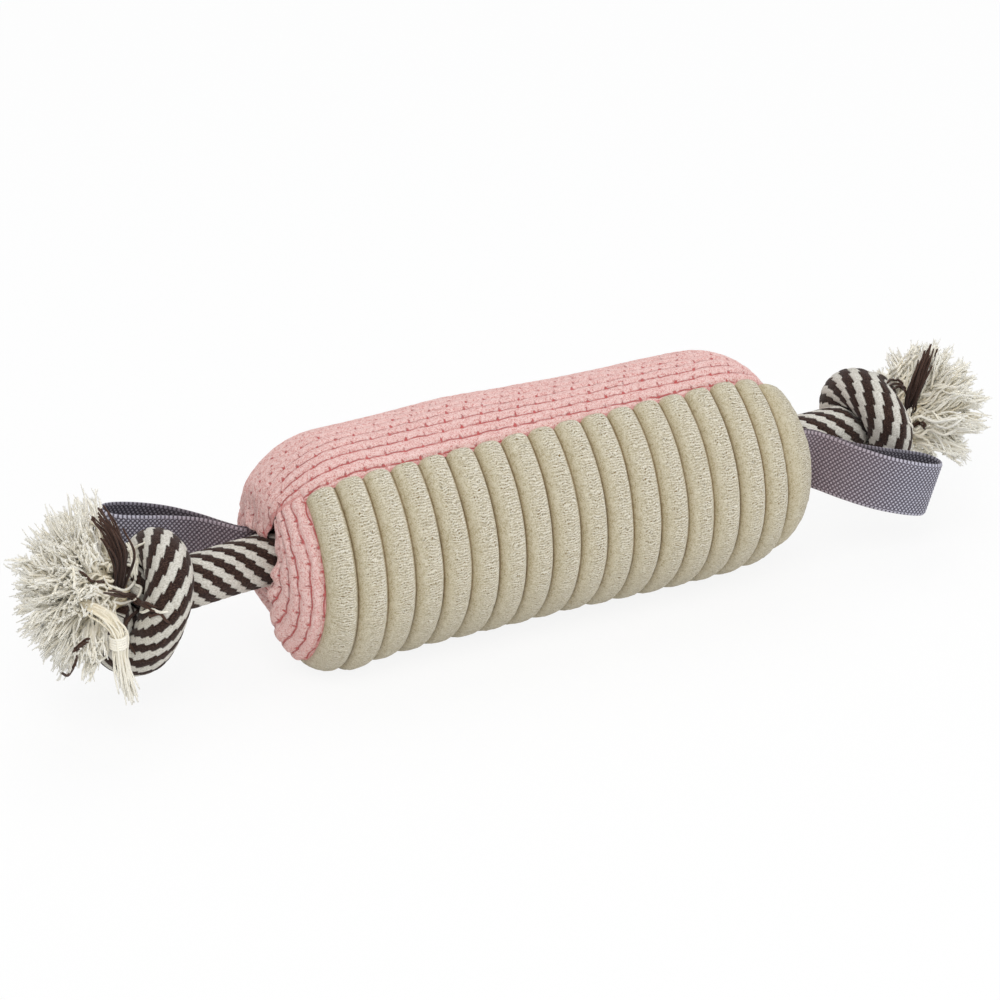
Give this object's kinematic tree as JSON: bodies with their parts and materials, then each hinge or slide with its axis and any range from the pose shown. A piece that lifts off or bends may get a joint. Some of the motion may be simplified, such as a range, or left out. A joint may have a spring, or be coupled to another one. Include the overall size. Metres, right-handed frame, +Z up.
{
  "type": "fabric dog toy",
  "caption": "Stuffed bolster-shaped dog toy of ribbed plush and corduroy on a knotted rope, with a frayed tassel and a webbing loop at each end.",
  "frame": {"origin": "on the ground, on the flat of the rib next to the middle of the ribbed panel", "axes": "+X along the toy, -Y the ribbed front, +Z up"},
  "size_m": [0.4594, 0.0992, 0.0988],
  "materials": {
    "cream_plush": "soft cut pile in broad ribs",
    "pink_corduroy": "soft corduroy in tufted wales",
    "filling": "loose polyester fibre",
    "braided_rope": "braided cotton in dark brown and off-white stripes",
    "frayed_cotton": "loosened off-white cotton strands",
    "dark_yarn": "loosened dark brown cotton strands",
    "webbing": "woven polyester tape with a dotted twill face",
    "squeaker_plastic": "soft moulded plastic"
  },
  "bodies": {
    "body": {"cream_front_panel": "cream_plush", "pink_top_panel": "pink_corduroy", "left_end_flap": "pink_corduroy", "right_end_flap": "pink_corduroy", "front_stuffing": "filling", "back_stuffing": "filling", "squeaker_bulb": "squeaker_plastic", "squeaker_reed": "squeaker_plastic", "rope_core": "braided_rope", "left_webbing_tab": "webbing", "right_webbing_tab": "webbing"},
    "left_bend": {"left_rope_bend": "braided_rope"},
    "left_rope_end": {"left_rope_neck": "braided_rope", "left_knot": "braided_rope", "left_tassel": "frayed_cotton", "left_dark_strands": "dark_yarn", "left_hanging_strands": "frayed_cotton", "left_strand_tie": "frayed_cotton"},
    "left_loop": {"left_webbing_loop": "webbing"},
    "right_bend": {"right_rope_bend": "braided_rope"},
    "right_rope_end": {"right_rope_neck": "braided_rope", "right_knot": "braided_rope", "right_tassel": "frayed_cotton", "right_dark_strands": "dark_yarn"},
    "right_loop": {"right_webbing_loop": "webbing"}
  },
  "joints": [
    {"name": "left_rope_swing", "type": "hinge", "parent": "body", "child": "left_bend", "pos_m": [-0.1357, 0, 0.0495], "axis": [0, 0, 1], "range_deg": [-4, 30]},
    {"name": "left_rope_lift", "type": "hinge", "parent": "left_bend", "child": "left_rope_end", "pos_m": [-0.1357, 0, 0.0495], "axis": [-0.1564, 0.9877, 0], "range_deg": [-35, 35]},
    {"name": "left_loop_swing", "type": "hinge", "parent": "body", "child": "left_loop", "pos_m": [-0.1352, 0.016, 0.0455], "axis": [-0.2419, 0, -0.9703], "range_deg": [0, 50]},
    {"name": "right_rope_swing", "type": "hinge", "parent": "body", "child": "right_bend", "pos_m": [0.1201, 0, 0.0495], "axis": [0, 0, 1], "range_deg": [-4, 30]},
    {"name": "right_rope_lift", "type": "hinge", "parent": "right_bend", "child": "right_rope_end", "pos_m": [0.1201, 0, 0.0495], "axis": [0.1564, -0.9877, 0], "range_deg": [-35, 35]},
    {"name": "right_loop_swing", "type": "hinge", "parent": "body", "child": "right_loop", "pos_m": [0.1196, -0.016, 0.0495], "axis": [-0.3256, 0, -0.9455], "range_deg": [0, 50]}
  ]
}
